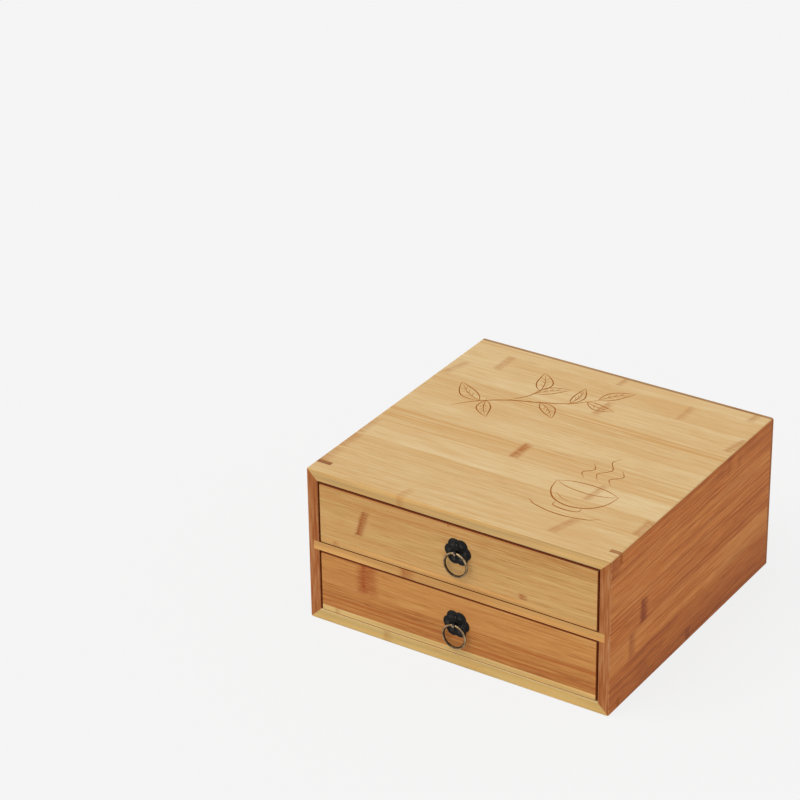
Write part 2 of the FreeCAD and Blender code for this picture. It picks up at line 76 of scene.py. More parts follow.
class Graph:
    """The nodes of a material or a world, added a call at a time."""

    # Numbers of the sockets of a mix node that are colours
    MIX_FIRST, MIX_SECOND = 6, 7
    MIX_RESULT = 2

    def __init__(self, owner, shader="Principled BSDF"):
        self.owner = owner
        owner.use_nodes = True
        self.tree = owner.node_tree
        self.shader = self.tree.nodes[shader]

    def feed(self, socket, source):
        """Link a socket to another one, or set it to a constant."""
        if isinstance(source, bpy.types.NodeSocket):
            self.tree.links.new(source, socket)
        else:
            socket.default_value = source

    def node(self, kind, inputs=None, **settings):
        """Add a node, set it up and feed its inputs, which go by name or number."""
        made = self.tree.nodes.new(kind)
        for name, setting in settings.items():
            setattr(made, name, setting)
        for name, source in (inputs or {}).items():
            self.feed(made.inputs[name], source)
        return made

    def math(self, operation, *sources):
        made = self.node("ShaderNodeMath", operation=operation)
        for socket, source in zip(made.inputs, sources):
            self.feed(socket, source)
        return made.outputs[0]

    def chain(self, operation, first, *others):
        for other in others:
            first = self.math(operation, first, other)
        return first

    def total(self, *sources):
        return self.chain("ADD", *sources)

    def times(self, *sources):
        return self.chain("MULTIPLY", *sources)

    def most(self, *sources):
        return self.chain("MAXIMUM", *sources)

    def minus(self, first, second):
        return self.math("SUBTRACT", first, second)

    def smooth(self, source, low, high, start=0.0, end=1.0):
        """start below low, end above high, and a smooth step between them."""
        made = self.node(
            "ShaderNodeMapRange",
            {"Value": source, "From Min": low, "From Max": high, "To Min": start, "To Max": end},
            interpolation_type="SMOOTHSTEP")
        return made.outputs["Result"]

    def vectors(self, operation, first, second):
        made = self.node("ShaderNodeVectorMath", {0: first, 1: second}, operation=operation)
        return made.outputs["Vector"]

    def split(self, vector):
        return self.node("ShaderNodeSeparateXYZ", {"Vector": vector}).outputs

    def join(self, x, y, z):
        return self.node("ShaderNodeCombineXYZ", {"X": x, "Y": y, "Z": z}).outputs["Vector"]

    def noise(self, vector, scale, detail=2.0, roughness=0.5):
        made = self.node("ShaderNodeTexNoise", {
            "Vector": vector, "Scale": scale, "Detail": detail, "Roughness": roughness})
        return made.outputs["Fac"]

    def mix(self, factor, first, second, blend="MIX"):
        """The first colour where factor is 0, and the second blended over it where it is 1."""
        made = self.node("ShaderNodeMix", {"Factor": factor}, data_type="RGBA", blend_type=blend)
        self.feed(made.inputs[self.MIX_FIRST], first)
        self.feed(made.inputs[self.MIX_SECOND], second)
        return made.outputs[self.MIX_RESULT]

    def ramp(self, factor, stops, interpolation="LINEAR"):
        """A colour ramp's outputs, Color and Alpha."""
        made = self.node("ShaderNodeValToRGB", {"Fac": factor})
        made.color_ramp.interpolation = interpolation
        elements = made.color_ramp.elements
        elements.remove(elements[-1])
        elements[0].position, elements[0].color = stops[0]
        for position, colour in stops[1:]:
            elements.new(position).color = colour
        return made.outputs

    def bump(self, height, distance):
        made = self.node("ShaderNodeBump", {"Height": height, "Distance": distance})
        self.feed(self.shader.inputs["Normal"], made.outputs["Normal"])

    def cover(self, factor, shader, output):
        """Mix a second shader over the first and put the result on the output node."""
        mixed = self.node("ShaderNodeMixShader", {0: factor, 1: self.shader.outputs[0], 2: shader})
        self.feed(self.tree.nodes[output].inputs["Surface"], mixed.outputs[0])

    def finish(self, **inputs):
        """Feed the shader's sockets, named with underscores for spaces."""
        for name, source in inputs.items():
            self.feed(self.shader.inputs[name.replace("_", " ")], source)
        return self.owner


def material_graph(name):
    return Graph(bpy.data.materials.new(name))


# ---------------------------------------------------------------- bamboo

class Tones(NamedTuple):
    """Colours of one kind of bamboo."""
    dark: tuple           # darkest fibres
    body: tuple
    light: tuple          # palest fibres
    streak: tuple         # streaks, glue lines and warm clouds
    knuckle: tuple
    end: tuple            # end grain
    worn: tuple           # rubbed arrises
    edge: tuple           # factors of red, green and blue on a board's long edges
    figure: float         # how strongly the fibres show


class Layer(NamedTuple):
    """A strip across a laminated board, or a ply through it."""
    width: float          # mm
    tone: float = 0.0     # from -0.5, dark, to 0.5, pale
    streaks: float = 0.0  # 0 to 1


class Knuckle(NamedTuple):
    """A brown band across one strip, where the cane had a joint. Lengths are in mm."""
    strip: int
    place: float          # along the grain
    length: float
    slant: float = 0.0
    strength: float = 0.5
    change: float = 0.0   # of the strip's tone beyond it


class Knot(NamedTuple):
    """A small brown spot. Places and lengths are in mm."""
    place: float          # along the grain
    across: float
    length: float
    width: float
    strength: float


PALE = Tones(
    dark=srgb(188, 136, 74), body=srgb(214, 180, 127), light=srgb(230, 209, 164),
    streak=srgb(198, 144, 76), knuckle=srgb(172, 106, 48), end=srgb(188, 146, 92),
    worn=srgb(216, 184, 130), edge=(0.89, 0.8, 0.63), figure=1.4)
HONEY = Tones(
    dark=srgb(160, 100, 46), body=srgb(199, 156, 96), light=srgb(220, 184, 124),
    streak=srgb(186, 120, 60), knuckle=srgb(158, 88, 40), end=srgb(150, 98, 56),
    worn=srgb(206, 166, 110), edge=(1.03, 0.93, 0.83), figure=1.6)
AMBER = Tones(
    dark=srgb(138, 68, 28), body=srgb(195, 136, 73), light=srgb(214, 164, 100),
    streak=srgb(168, 92, 42), knuckle=srgb(154, 70, 30), end=srgb(140, 84, 44),
    worn=srgb(200, 146, 88), edge=(0.96, 0.96, 0.96), figure=1.45)
BROWN = Tones(
    dark=srgb(124, 48, 6), body=srgb(200, 115, 45), light=srgb(228, 162, 88),
    streak=srgb(156, 72, 16), knuckle=srgb(136, 58, 8), end=srgb(168, 103, 56),
    worn=srgb(196, 146, 104), edge=(0.8, 1.0, 1.5), figure=1.65)
KEY = Tones(
    dark=srgb(112, 64, 30), body=srgb(162, 108, 62), light=srgb(190, 140, 88),
    streak=srgb(120, 70, 36), knuckle=srgb(112, 64, 30), end=srgb(168, 94, 32),
    worn=srgb(176, 120, 76), edge=(0.95, 0.8, 0.75), figure=1.0)
# Painted shade: a dark brown laid on the sides of the narrow gaps round the drawers, close behind
# the front
PAINTED_GAP_SHADE = srgb(118, 50, 7)

WHOLE = 100                    # width in mm of the one layer of a board that has no others
EVEN_STREAKS = 0.3
TONE_RAISE = 0.5               # added to a tone, so that it stays above 0 in a ramp
SEAM = 0.3 * MM                # glue line between two layers
SHIFT_PER_LAYER = 0.381966     # the golden section, so that no two layers share their grain

# Noise along the fibres: how far along them it is squeezed, its scale, detail and roughness.
# At 0.025 a fibre is forty times as long as it is wide.
FIBRE_STRETCH = 0.025
DRIFT = (8 * FIBRE_STRETCH, 50, 2, 0.5)
BROAD = (FIBRE_STRETCH, 300, 2, 0.5)
FINE = (FIBRE_STRETCH, 1400, 5, 0.68)
DASHES = (2 * FIBRE_STRETCH, 1100, 2, 0.5)
STREAKS = (FIBRE_STRETCH / 3, 480, 3, 0.5)
MOTTLE = (6 * FIBRE_STRETCH, 800, 2, 0.5)
PORE_STRETCH = 3 * FIBRE_STRETCH
PORES = (700, 3)               # scale and detail

# How much of them goes into the figure beside the fine fibres, and what all that comes to
# on average, and the same for the pores in end grain
DRIFT_SHARE = 0.35
BROAD_SHARE = 0.35
DASH_SHARE = -0.09
FIGURE_MIDDLE = 0.84
PORE_SHARE = 1.2
PORE_MIDDLE = 0.6
STREAK_STRENGTH = 0.75

# Smooth steps, as smooth() takes them: low and high, and then start and end if not 0 and 1
DASH_STEP = (0.6, 0.72)
STREAK_STEP = (0.48, 0.64)
WARM_STEP = (0.45, 0.75, 0.0, 0.45)
EDGE_LINES_STEP = (0.7, 1.3, 1.25, 0.78)
MOTTLED_STEP = (0.3, 0.65, 0.6, 1.25)    # how the mottle breaks up a knuckle or knot
FIBROUS_STEP = (0.35, 0.6, 1.15, 0.7)    # and how the fine fibres do
WEAR_STEP = (0.35, 0.6, 0.1, 0.65)
FACING_EDGE = (0.8, 0.98)                # how squarely a surface faces across the grain
FACING_END = (0.6, 0.9)                  # and along it
ON_ARRIS = (0.97, 0.85)                  # how squarely it faces any way at all
FACING_GAP = (0.45, 0.65)
GAP_SHADE_DEPTH = (1.3 * MM, 2.2 * MM)       # where the painted gap shade fades out, behind the front of the board

# Knuckles and knots
SPILL = 4 * MM                 # how far a knuckle of an outer strip runs past the board's edge
RAGGED = 1.6                   # how much the mottle bends a mark's outline along the grain
RAGGED_SIDES = 0.3             # and how much of that across it
MARK_ENDS = (0.4, 1.25)        # where a mark fades out along the grain, in half lengths
MARK_SIDES = (0.84, 1.02)      # and across it, in half widths
MARK_LEAN = 0.7                # how much stronger a mark is at its start than at its end
MARK_MIDDLE = 0.8              # its strength in the middle
RIDGE_PLACE = 0.2              # the dark ridge, before the middle, as a share of the length
RIDGE_EDGES = (0.1 * MM, 0.9 * MM)
RIDGE_STRENGTH = 0.15

# Height of the surface relief, and the share of the fibres and glue lines in it
BAMBOO_RELIEF = 0.06 * MM
FINE_RELIEF = 0.6
BROAD_RELIEF = 0.4
SEAM_RELIEF = -0.5

# Roughness, and what fine fibres and end grain add to it
BAMBOO_ROUGHNESS = 0.4
FINE_ROUGHNESS = 0.18
END_ROUGHNESS = 0.15
GLOSS = 0.1


class Board(Graph):
    """Satin bamboo for one board, grain along one axis and strips side by side on another."""

    def __init__(self, node, tones, grain, across, strips, plies):
        super().__init__(bpy.data.materials.new(f"bamboo_{node}"))
        self.tones = tones
        self.strips = strips
        self.grain = grain
        self.across = across
        self.through = next(axis for axis in AXES if axis not in (grain, across))
        self.low = dict(zip(AXES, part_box(node)[0]))

        spot = self.node("ShaderNodeTexCoord").outputs
        self.place = dict(zip(AXES, self.split(spot["Object"])))
        self.facing = dict(zip(AXES, self.split(spot["Normal"])))
        self.turned = {axis: self.math("ABSOLUTE", self.facing[axis]) for axis in AXES}
        self.edge = self.smooth(self.turned[across], *FACING_EDGE)
        self.end = self.smooth(self.turned[grain], *FACING_END)

        self.tone, self.shift, self.seam, self.streaked = self.laminate(across, strips)
        self.ply_tone, self.ply_shift, self.ply_seam, _ = self.laminate(self.through, plies)
        self.drift = self.fibres(*DRIFT)
        self.broad = self.fibres(*BROAD)
        self.fine = self.fibres(*FINE)
        self.mottle = self.fibres(*MOTTLE)

    def laminate(self, axis, layers):
        """Which of the layers, from the board's low side up, a place is in.

        Returns sockets: the layer's tone raised by TONE_RAISE, a shift of the grain that
        differs from layer to layer, the glue lines and the streaks.
        """
        span = sum(layer.width for layer in layers) * MM
        share = self.math("DIVIDE", self.minus(self.place[axis], self.low[axis]), span)
        stops = []
        start = 0.0
        for count, layer in enumerate(layers):
            shift = (count * SHIFT_PER_LAYER) % 1
            if count:
                stops.append((start, (layer.tone + TONE_RAISE, shift, 1.0, layer.streaks)))
                start += SEAM / span
            stops.append((start, (layer.tone + TONE_RAISE, shift, 0.0, layer.streaks)))
            start = sum(other.width for other in layers[:count + 1]) * MM / span
        ramp = self.ramp(share, stops, "CONSTANT")
        parts = self.node("ShaderNodeSeparateColor", {"Color": ramp["Color"]}).outputs
        return parts[0], parts[1], parts[2], ramp["Alpha"]

    def fibres(self, stretch, scale, detail, roughness):
        """Noise drawn out along the grain, other in each layer."""
        along = self.total(
            self.times(self.place[self.grain], stretch), self.shift, self.ply_shift)
        vector = self.join(along, self.place[self.across], self.place[self.through])
        return self.noise(vector, scale, detail, roughness)

    def patch(self, place, middle, length, width, slant, strength):
        """How far a place lies inside a soft-edged patch, and inside the strip beyond it.

        The patch is strongest where its grain starts, with a thin dark ridge there.
        """
        ragged = self.times(self.minus(self.mottle, 0.5), RAGGED)
        from_middle = self.minus(self.place[self.across], middle)
        slanted = self.math("MULTIPLY_ADD", from_middle, -slant, self.place[self.grain])
        past = self.minus(slanted, place)
        reach = self.total(
            self.math("DIVIDE", self.math("ABSOLUTE", past), length / 2), ragged)
        sideways = self.math("DIVIDE", self.math("ABSOLUTE", from_middle), width / 2)
        within = self.smooth(
            self.total(sideways, self.times(ragged, RAGGED_SIDES)), *MARK_SIDES, 1.0, 0.0)
        lean = self.math("MULTIPLY_ADD", past, -MARK_LEAN / length, MARK_MIDDLE)
        soft = self.times(self.smooth(reach, *MARK_ENDS, strength, 0.0), lean)
        from_ridge = self.math(
            "ABSOLUTE", self.total(past, RIDGE_PLACE * length, self.times(ragged, MM)))
        ridge = self.smooth(from_ridge, *RIDGE_EDGES, RIDGE_STRENGTH * strength, 0.0)
        inside = self.times(self.total(soft, ridge), within)
        beyond = self.times(self.smooth(past, -MM, MM), within)
        return inside, beyond

    def knuckle(self, mark):
        """A patch as wide as the knuckle's strip."""
        first = self.low[self.across] + sum(strip.width for strip in self.strips[:mark.strip]) * MM
        last = first + self.strips[mark.strip].width * MM
        if mark.strip == 0:
            first -= SPILL
        if mark.strip == len(self.strips) - 1:
            last += SPILL
        return self.patch(mark.place * MM, (first + last) / 2, mark.length * MM,
                          last - first, mark.slant, mark.strength)

    def marks(self, knuckles, knots):
        """How brown the knuckles and knots make a place, and how they change its tone."""
        brown = changes = 0.0
        for mark in knuckles:
            inside, beyond = self.knuckle(mark)
            brown = self.most(brown, inside)
            changes = self.math("MULTIPLY_ADD", beyond, mark.change, changes)
        for mark in knots:
            inside, _ = self.patch(mark.place * MM, mark.across * MM, mark.length * MM,
                                   mark.width * MM, 0.0, mark.strength)
            brown = self.most(brown, inside)
        return brown, changes

    def figure(self, changes):
        """The colour of the fibres, with streaks, glue lines and warm clouds."""
        dashes = self.smooth(self.fibres(*DASHES), *DASH_STEP)
        unevenness = self.total(
            self.times(self.drift, DRIFT_SHARE), self.times(self.broad, BROAD_SHARE), self.fine,
            self.times(dashes, DASH_SHARE))
        level = self.math("MULTIPLY_ADD", self.minus(unevenness, FIGURE_MIDDLE),
                          self.tones.figure, changes)
        level = self.minus(self.total(level, self.tone, self.ply_tone), TONE_RAISE)
        colour = self.ramp(level, [
            (0.0, self.tones.dark), (0.5, self.tones.body), (1.0, self.tones.light)])["Color"]
        warmth = self.times(self.smooth(self.drift, *WARM_STEP), self.minus(1.0, self.edge))
        streaks = self.smooth(self.fibres(*STREAKS), *STREAK_STEP)
        streaky = self.times(
            self.most(streaks, self.seam, self.ply_seam), self.streaked, STREAK_STRENGTH)
        return self.mix(self.most(streaky, warmth), colour, self.tones.streak)

    def brown_marks(self, colour, brown):
        """Knuckles and knots, broken up by the fibres that run through them."""
        broken = self.times(
            brown, self.smooth(self.mottle, *MOTTLED_STEP), self.smooth(self.fine, *FIBROUS_STEP))
        return self.mix(broken, colour, self.tones.knuckle)

    def edges(self, colour):
        """The long edges of the board, where the fibres show as crisp lines."""
        lines = self.smooth(self.total(self.fine, self.broad), *EDGE_LINES_STEP)
        tint = self.vectors("MULTIPLY", self.tones.edge, lines)
        return self.mix(self.edge, colour, self.mix(1.0, colour, tint, "MULTIPLY"))

    def ends(self, colour):
        """End grain, with its pores in layers."""
        layers = self.join(
            self.times(self.place[self.across], PORE_STRETCH), self.place[self.through],
            self.place[self.grain])
        pores = self.noise(layers, *PORES)
        level = self.total(self.times(pores, PORE_SHARE), self.ply_tone, -PORE_MIDDLE)
        end = self.ramp(level, [
            (0.0, self.tones.dark), (0.5, self.tones.end), (1.0, self.tones.worn)])["Color"]
        return self.mix(self.end, colour, end)

    def arrises(self, colour):
        """Arrises rubbed pale, here more and there less."""
        arris = self.smooth(self.most(*self.turned.values()), *ON_ARRIS)
        worn = self.times(arris, self.smooth(self.broad, *WEAR_STEP))
        return self.mix(worn, colour, self.tones.worn)

    def paint_gap_shade(self, colour, sides):
        """Painted shade on the sides of the gaps round the drawers, close behind the front."""
        shade = 0.0
        for axis, direction, darkness in sides:
            turned = self.times(self.facing[axis], direction)
            shade = self.most(shade, self.smooth(turned, *FACING_GAP, 0.0, darkness))
        start, end = (self.low["Y"] + depth for depth in GAP_SHADE_DEPTH)
        near = self.smooth(self.place["Y"], start, end, 1.0, 0.0)
        return self.mix(self.times(shade, near), colour, PAINTED_GAP_SHADE)

    def satin(self, colour):
        """The finished material, with its fibres standing a little proud."""
        relief = self.total(
            self.times(self.fine, FINE_RELIEF), self.times(self.broad, BROAD_RELIEF),
            self.times(self.seam, SEAM_RELIEF))
        self.bump(relief, BAMBOO_RELIEF)
        rough = self.total(
            self.times(self.fine, FINE_ROUGHNESS), self.times(self.end, END_ROUGHNESS),
            BAMBOO_ROUGHNESS)
        return self.finish(Base_Color=colour, Roughness=rough, Specular_IOR_Level=GLOSS)


def dress(node, tones, grain, across, strips, knuckles=(), knots=(), plies=(Layer(WHOLE),),
          gap_shaded_sides=()):
    """Give a board's node its bamboo.

    grain and across are the axes along the fibres and across the strips. The sides given last, as
    (axis, direction, darkness), face a gap round a drawer and get painted shade close behind the
    front.
    """
    board = Board(node, tones, grain, across, strips, plies)
    brown, changes = board.marks(knuckles, knots)
    colour = board.figure(changes)
    if knuckles or knots:
        colour = board.brown_marks(colour, brown)
    colour = board.arrises(board.ends(board.edges(colour)))
    # Painted shade where the board faces a gap round a drawer
    if gap_shaded_sides:
        colour = board.paint_gap_shade(colour, gap_shaded_sides)
    nodes[node].data.materials.clear()
    nodes[node].data.materials.append(board.satin(colour))


def even_strips(width, tones):
    """Strips of one width, lightly streaked, with the given tones in turn."""
    return [Layer(width, tone, EVEN_STREAKS) for tone in tones]


LID_STRIPS = (
    Layer(13, -0.05, 0.4), Layer(27, 0.0, 0.3), Layer(25, -0.05, 0.6), Layer(27, 0.12, 0.1),
    Layer(26, -0.02, 0.8), Layer(25, 0.07, 0.2), Layer(15, -0.04, 0.6), Layer(25, -0.02, 0.9),
    Layer(25, 0.09, 0.2), Layer(26, 0.1, 0.2), Layer(14, 0.07, 0.5))
LID_KNUCKLES = (
    Knuckle(0, -46, 8, slant=0.2, strength=0.35, change=0.04),
    Knuckle(1, 76, 9, slant=0.3, change=-0.03),
    Knuckle(1, -126, 12),
    Knuckle(2, 127, 9, strength=0.6),
    Knuckle(2, -127, 12, slant=0.1, strength=0.6),
    Knuckle(3, 72, 7, slant=0.1, change=0.04),
    Knuckle(3, -127, 10),
    Knuckle(4, -7, 9, strength=1.0, change=0.03),
    Knuckle(8, 12, 8, slant=0.1, strength=0.55, change=-0.05),
    Knuckle(8, 127, 9, slant=0.2, strength=0.6),
    Knuckle(8, -121, 8, slant=0.3, strength=0.4, change=0.03),
    Knuckle(9, -92, 8, change=-0.16),
    Knuckle(9, 70, 8, strength=0.35, change=0.08),
    Knuckle(10, 4, 6, slant=0.1, change=0.03),
    Knuckle(10, 118, 7, slant=0.1))
SIDE_STRIPS = (
    Layer(12.1, -0.2, 0.4), Layer(20, -0.15, 0.5), Layer(21.6, 0.07, 0.3),
    Layer(21.3, -0.03, 0.8), Layer(21, 0.02, 0.8), Layer(17, 0.03, 0.6), Layer(17, -0.08, 0.5))
RIGHT_KNUCKLES = (
    Knuckle(0, -5.5, 9, strength=0.8, change=-0.05),
    Knuckle(2, -92, 11, strength=0.6, change=0.04),
    Knuckle(3, -75, 12, strength=1.1),
    Knuckle(6, -119, 17, strength=0.6),
    Knuckle(6, 54, 9, strength=0.4),
    Knuckle(6, 70, 8, strength=0.3))
LEFT_KNUCKLES = (
    Knuckle(1, 62, 9, strength=0.6, change=0.05),
    Knuckle(2, -36, 9, slant=0.1, change=-0.05),
    Knuckle(4, 18, 8, change=0.05),
    Knuckle(5, -94, 9, strength=0.6),
    Knuckle(5, 108, 9, slant=0.1))
INNER_PLY, OUTER_PLY = Layer(4, -0.04), Layer(6, 0.04)
KEY_TONES = {"left": -0.15, "right": 0.15}

ABOVE, BELOW = ("Z", 1), ("Z", -1)
TO_RIGHT, TO_LEFT = ("X", 1), ("X", -1)
# Sides of the drawers' boards that get painted gap shade: axis, direction and darkness
FRONT_GAP_SHADE = ((*ABOVE, 1.0), (*TO_RIGHT, 1.0), (*TO_LEFT, 1.0))
FLOOR_GAP_SHADE = ((*BELOW, 0.3), (*TO_RIGHT, 1.0), (*TO_LEFT, 1.0))


def dress_case():
    dress("top_panel", PALE, "X", "Y", LID_STRIPS, LID_KNUCKLES, gap_shaded_sides=[(*BELOW, 0.5)])
    dress("bottom_panel", PALE._replace(edge=(0.88, 0.89, 0.71)), "X", "Y",
          even_strips(21, [0, 0.06, -0.05, 0.02] * 3),
          [Knuckle(0, -60, 9, strength=0.4), Knuckle(3, 40, 9, change=0.05),
           Knuckle(7, -20, 9, slant=0.1), Knuckle(9, 90, 9)])
    dress("middle_shelf", HONEY, "X", "Y", even_strips(21, [0.0, 0.05, -0.05, 0.02] * 3),
          [Knuckle(0, -37.5, 14, slant=0.5, strength=0.7), Knuckle(4, 60, 9)],
          gap_shaded_sides=[(*ABOVE, 0.8), (*BELOW, 1.0)])
    dress("right_side", BROWN, "Y", "Z", SIDE_STRIPS, RIGHT_KNUCKLES,
          plies=(INNER_PLY, OUTER_PLY), gap_shaded_sides=[(*TO_LEFT, 0.7)])
    dress("left_side", BROWN, "Y", "Z", SIDE_STRIPS, LEFT_KNUCKLES,
          plies=(OUTER_PLY, INNER_PLY), gap_shaded_sides=[(*TO_RIGHT, 0.7)])
    dress("back_panel", BROWN._replace(edge=(0.7, 1.25, 3.0)), "X", "Z",
          even_strips(21.7, [0.02, -0.06, 0.08, 0, 0.05, -0.04]),
          [Knuckle(1, -70, 9, strength=0.6), Knuckle(2, 84, 9, slant=0.1),
           Knuckle(4, -12, 9, strength=0.6), Knuckle(5, 101, 9, strength=0.4)])
    for side, tone in KEY_TONES.items():
        for level in ("top", "bottom"):
            dress(f"corner_key_{level}_{side}", KEY, "X", "Y", even_strips(WHOLE, [tone]))


def dress_drawers():
    dress("upper_drawer_front", HONEY, "X", "Z",
          (Layer(10, 0.05, 0.4), Layer(24.3, 0.03, 0.3), Layer(12, -0.08, 0.9)),
          [Knuckle(1, -81, 8, slant=0.3, strength=1.0)],
          [Knot(58, 77.6, 8, 5, 0.8), Knot(-5, 117.8, 4, 2.4, 0.6)],
          gap_shaded_sides=(*FRONT_GAP_SHADE, (*BELOW, 1.0)))
    dress("lower_drawer_front", AMBER, "X", "Z", (Layer(19.9, -0.14, 1.0), Layer(26, 0.03, 0.3)),
          [Knuckle(1, -77, 20, strength=0.95)], gap_shaded_sides=FRONT_GAP_SHADE)
    floors = {
        "upper": HONEY._replace(edge=(1.07, 0.98, 0.9)),
        "lower": PALE._replace(edge=(1.0, 0.96, 0.77))}
    for level, floor_tones in floors.items():
        drawer = f"{level}_drawer"
        dress(f"{drawer}_floor", floor_tones, "X", "Y",
              even_strips(21, [0.0, 0.05, -0.06, 0.03, -0.02, 0.07] * 2),
              [Knuckle(0, -105, 6, strength=0.4), Knuckle(3, 50, 9, change=0.05),
               Knuckle(6, -70, 9), Knuckle(9, 20, 9, strength=0.4, change=-0.05)],
              gap_shaded_sides=FLOOR_GAP_SHADE)
        dress(f"{drawer}_left_wall", PALE, "Y", "Z", even_strips(21.5, [-0.04, 0.05]),
              [Knuckle(0, 30, 9, change=0.04)])
        dress(f"{drawer}_right_wall", PALE, "Y", "Z", even_strips(21.5, [0.03, -0.04]),
              [Knuckle(1, -50, 9, change=0.04)])
        dress(f"{drawer}_back_wall", PALE, "X", "Z", even_strips(21.5, [0.03, -0.05]),
              [Knuckle(1, 40, 9)])


# ---------------------------------------------------------------- ring pulls

LOBES = 6
SECTOR = 2 * math.pi / LOBES
LOBE_PITCH = 5.8 * MM
LOBE_RADIUS = 5.45 * MM
PETAL_PITCH = 6.5 * MM
PETAL_RADIUS = 3.0 * MM
BEADS = 12
BEAD_PITCH = 3.5 * MM
PIN_HOLE_RADIUS = 1.25 * MM
PETAL_TOP = 0.25              # flat top of a petal, as a share of its radius
NAIL_RISE = 6.1 * MM
RIM_PLACE = 0.93              # the raised rim, as a share of the way out
RIM_WIDTH = 0.045
TURN_DOWN_START = 0.955       # where the edge of the plate starts to turn down
TURN_DOWN = 0.45              # by how much of the height
VEIN_WIDTH = 0.35 * MM
VALLEY_WIDTH = 0.55 * MM
BEAD_WIDTH = 0.5 * MM
LOWEST_BEAD = 0.35            # height between two beads, as a share of a bead's
EYELET_PITCH = 1.85 * MM
EYELET_WIDTH = 0.3 * MM
VEIN_START = (4.5 * MM, 6 * MM)         # steps at a distance from the middle of the plate
VALLEY_START = (3 * MM, 5 * MM)
BOSS_SLOPE = (2 * MM, 3 * MM)
NAIL_CLEARANCE = (1.7 * MM, 2.6 * MM)   # and from the nail
PLATE_TURNS = 168
PLATE_LOOPS = 27

# Heights of the plate's pressed relief, above its back or above its face
FACE_HEIGHT = 0.62 * MM
PETAL_HEIGHT = 0.62 * MM
VEIN_DEPTH = 0.22 * MM
VALLEY_DEPTH = 0.2 * MM
RIM_HEIGHT = 0.24 * MM
BEAD_HEIGHT = 0.42 * MM
BOSS_HEIGHT = 0.45 * MM
EYELET_HEIGHT = 0.42 * MM
TALLEST = 1.48 * MM

NAIL_HEAD_RADIUS = 1.3 * MM
NAIL_POINT_RADIUS = 0.1 * MM
NAIL_TURNS = 24
# Half outline of the nail's head: a share of its radius, and a depth behind its top in mm
NAIL_HEAD = ((0.02, 0.0), (0.45, 0.03), (0.8, 0.12), (1.0, 0.3), (1.0, 0.55), (0.35, 0.6))

WIRE_RADIUS = 1.0 * MM
WIRE_SIDES = 20
RING_TURNS = 128
RING_JOINT = math.radians(228)      # where the bent wire's two ends meet
JOINT_DIP = 0.16                    # of the wire's radius
JOINT_WIDTH = 0.05                  # radians

BLACKS = ((0.0, srgb(5, 4, 4)), (0.55, srgb(24, 21, 20)))       # from whole to thin finish
RUST = srgb(36, 27, 21)
BARE_STEEL = srgb(98, 88, 74)
BARE_PIN = srgb(136, 118, 96)
STEEL_GRAIN = (900, 4, 0.6)         # noise: its scale, detail and roughness
STEEL_CLOUDS = (260, 2)
STEEL_RELIEF = 0.12 * MM
RUST_STEP = (0.5, 0.75, 0.0, 0.6)
RUB_HEIGHT = 1.5 * MM               # rise over which the finish goes from whole to rubbed
RUB_GRAIN = 0.5                     # how much of the grain is added to that
RUB_STEP = (0.75, 1.25)
STEEL_ROUGHNESS = 0.34
GRAIN_ROUGHNESS = 0.3               # what the grain adds to it
RUBBED_ROUGHNESS = -0.1             # and what rubbing does
NAIL_RUB_START = 1.2 * MM           # where that starts, behind the front of the nail
PIN_RUB_START = 1.5 * MM
PIN_BEVEL = 0.12 * MM

# From the painted dark reflection on the ring's inner side to the worn, painted-highlight outer
# side
BRASS_COLOURS = (
    (0.0, srgb(38, 27, 20)), (0.5, srgb(82, 63, 44)), (0.76, srgb(122, 99, 70)),
    (1.0, srgb(176, 152, 116)))
BRASS_CLOUDS = (420, 3, 0.6)
BRASS_PITS = (2600, 3, 0.6)
BRASS_RELIEF = 0.02 * MM
BRIGHT_OUTSIDE = 0.35               # share of each cause in how bright the brass is: wear and a painted highlight outside and in front
BRIGHT_FRONT = 0.35
BRIGHT_CLOUDS = 0.9
BRIGHT_STEP = (0.1, 1.1)
BRASS_ROUGHNESS = 0.18
CLOUD_ROUGHNESS = 0.25              # what the clouds add to it


def add_object(name, mesh):
    piece = bpy.data.objects.new(name, mesh)
    bpy.context.scene.collection.objects.link(piece)
    return piece


def add_mesh(name, vertices, faces, material):
    """A smooth-shaded piece of one material."""
    mesh = bpy.data.meshes.new(name)
    mesh.from_pydata(vertices, [], faces)
    mesh.polygons.foreach_set("use_smooth", [True] * len(mesh.polygons))
    mesh.materials.append(material)
    mesh.update()
    return add_object(name, mesh)


def stand_in(piece, node, body):
    """A finer piece takes the place of a CAD node."""
    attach(piece, body)
    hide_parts(node)


def loft(loops, wrap=False):
    """Vertices and quads of a skin over closed loops of points, all of the same length."""
    count = len(loops[0])
    faces = []
    for this in range(len(loops) if wrap else len(loops) - 1):
        after = (this + 1) % len(loops)
        for i in range(count):
            j = (i + 1) % count
            faces.append((this * count + i, this * count + j, after * count + j, after * count + i))
    return [point for loop in loops for point in loop], faces


def angles(count):
    """Evenly spaced angles of a full turn."""
    return [2 * math.pi * i / count for i in range(count)]


def middle_of(node):
    return tuple((low + high) / 2 for low, high in zip(*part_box(node)))


def step(value, low, high):
    """0 below low, 1 above high, and a smooth step between them."""
    share = min(max((value - low) / (high - low), 0), 1)
    return share * share * (3 - 2 * share)


def hump(value, centre, width):
    return math.exp(-((value - centre) / width) ** 2)


def plate_outline(angle):
    """Distance from the middle of the plate to its rim, in six round lobes."""
    turn = (angle + SECTOR / 2) % SECTOR - SECTOR / 2
    return LOBE_PITCH * math.cos(turn) + math.sqrt(
        LOBE_RADIUS ** 2 - (LOBE_PITCH * math.sin(turn)) ** 2)


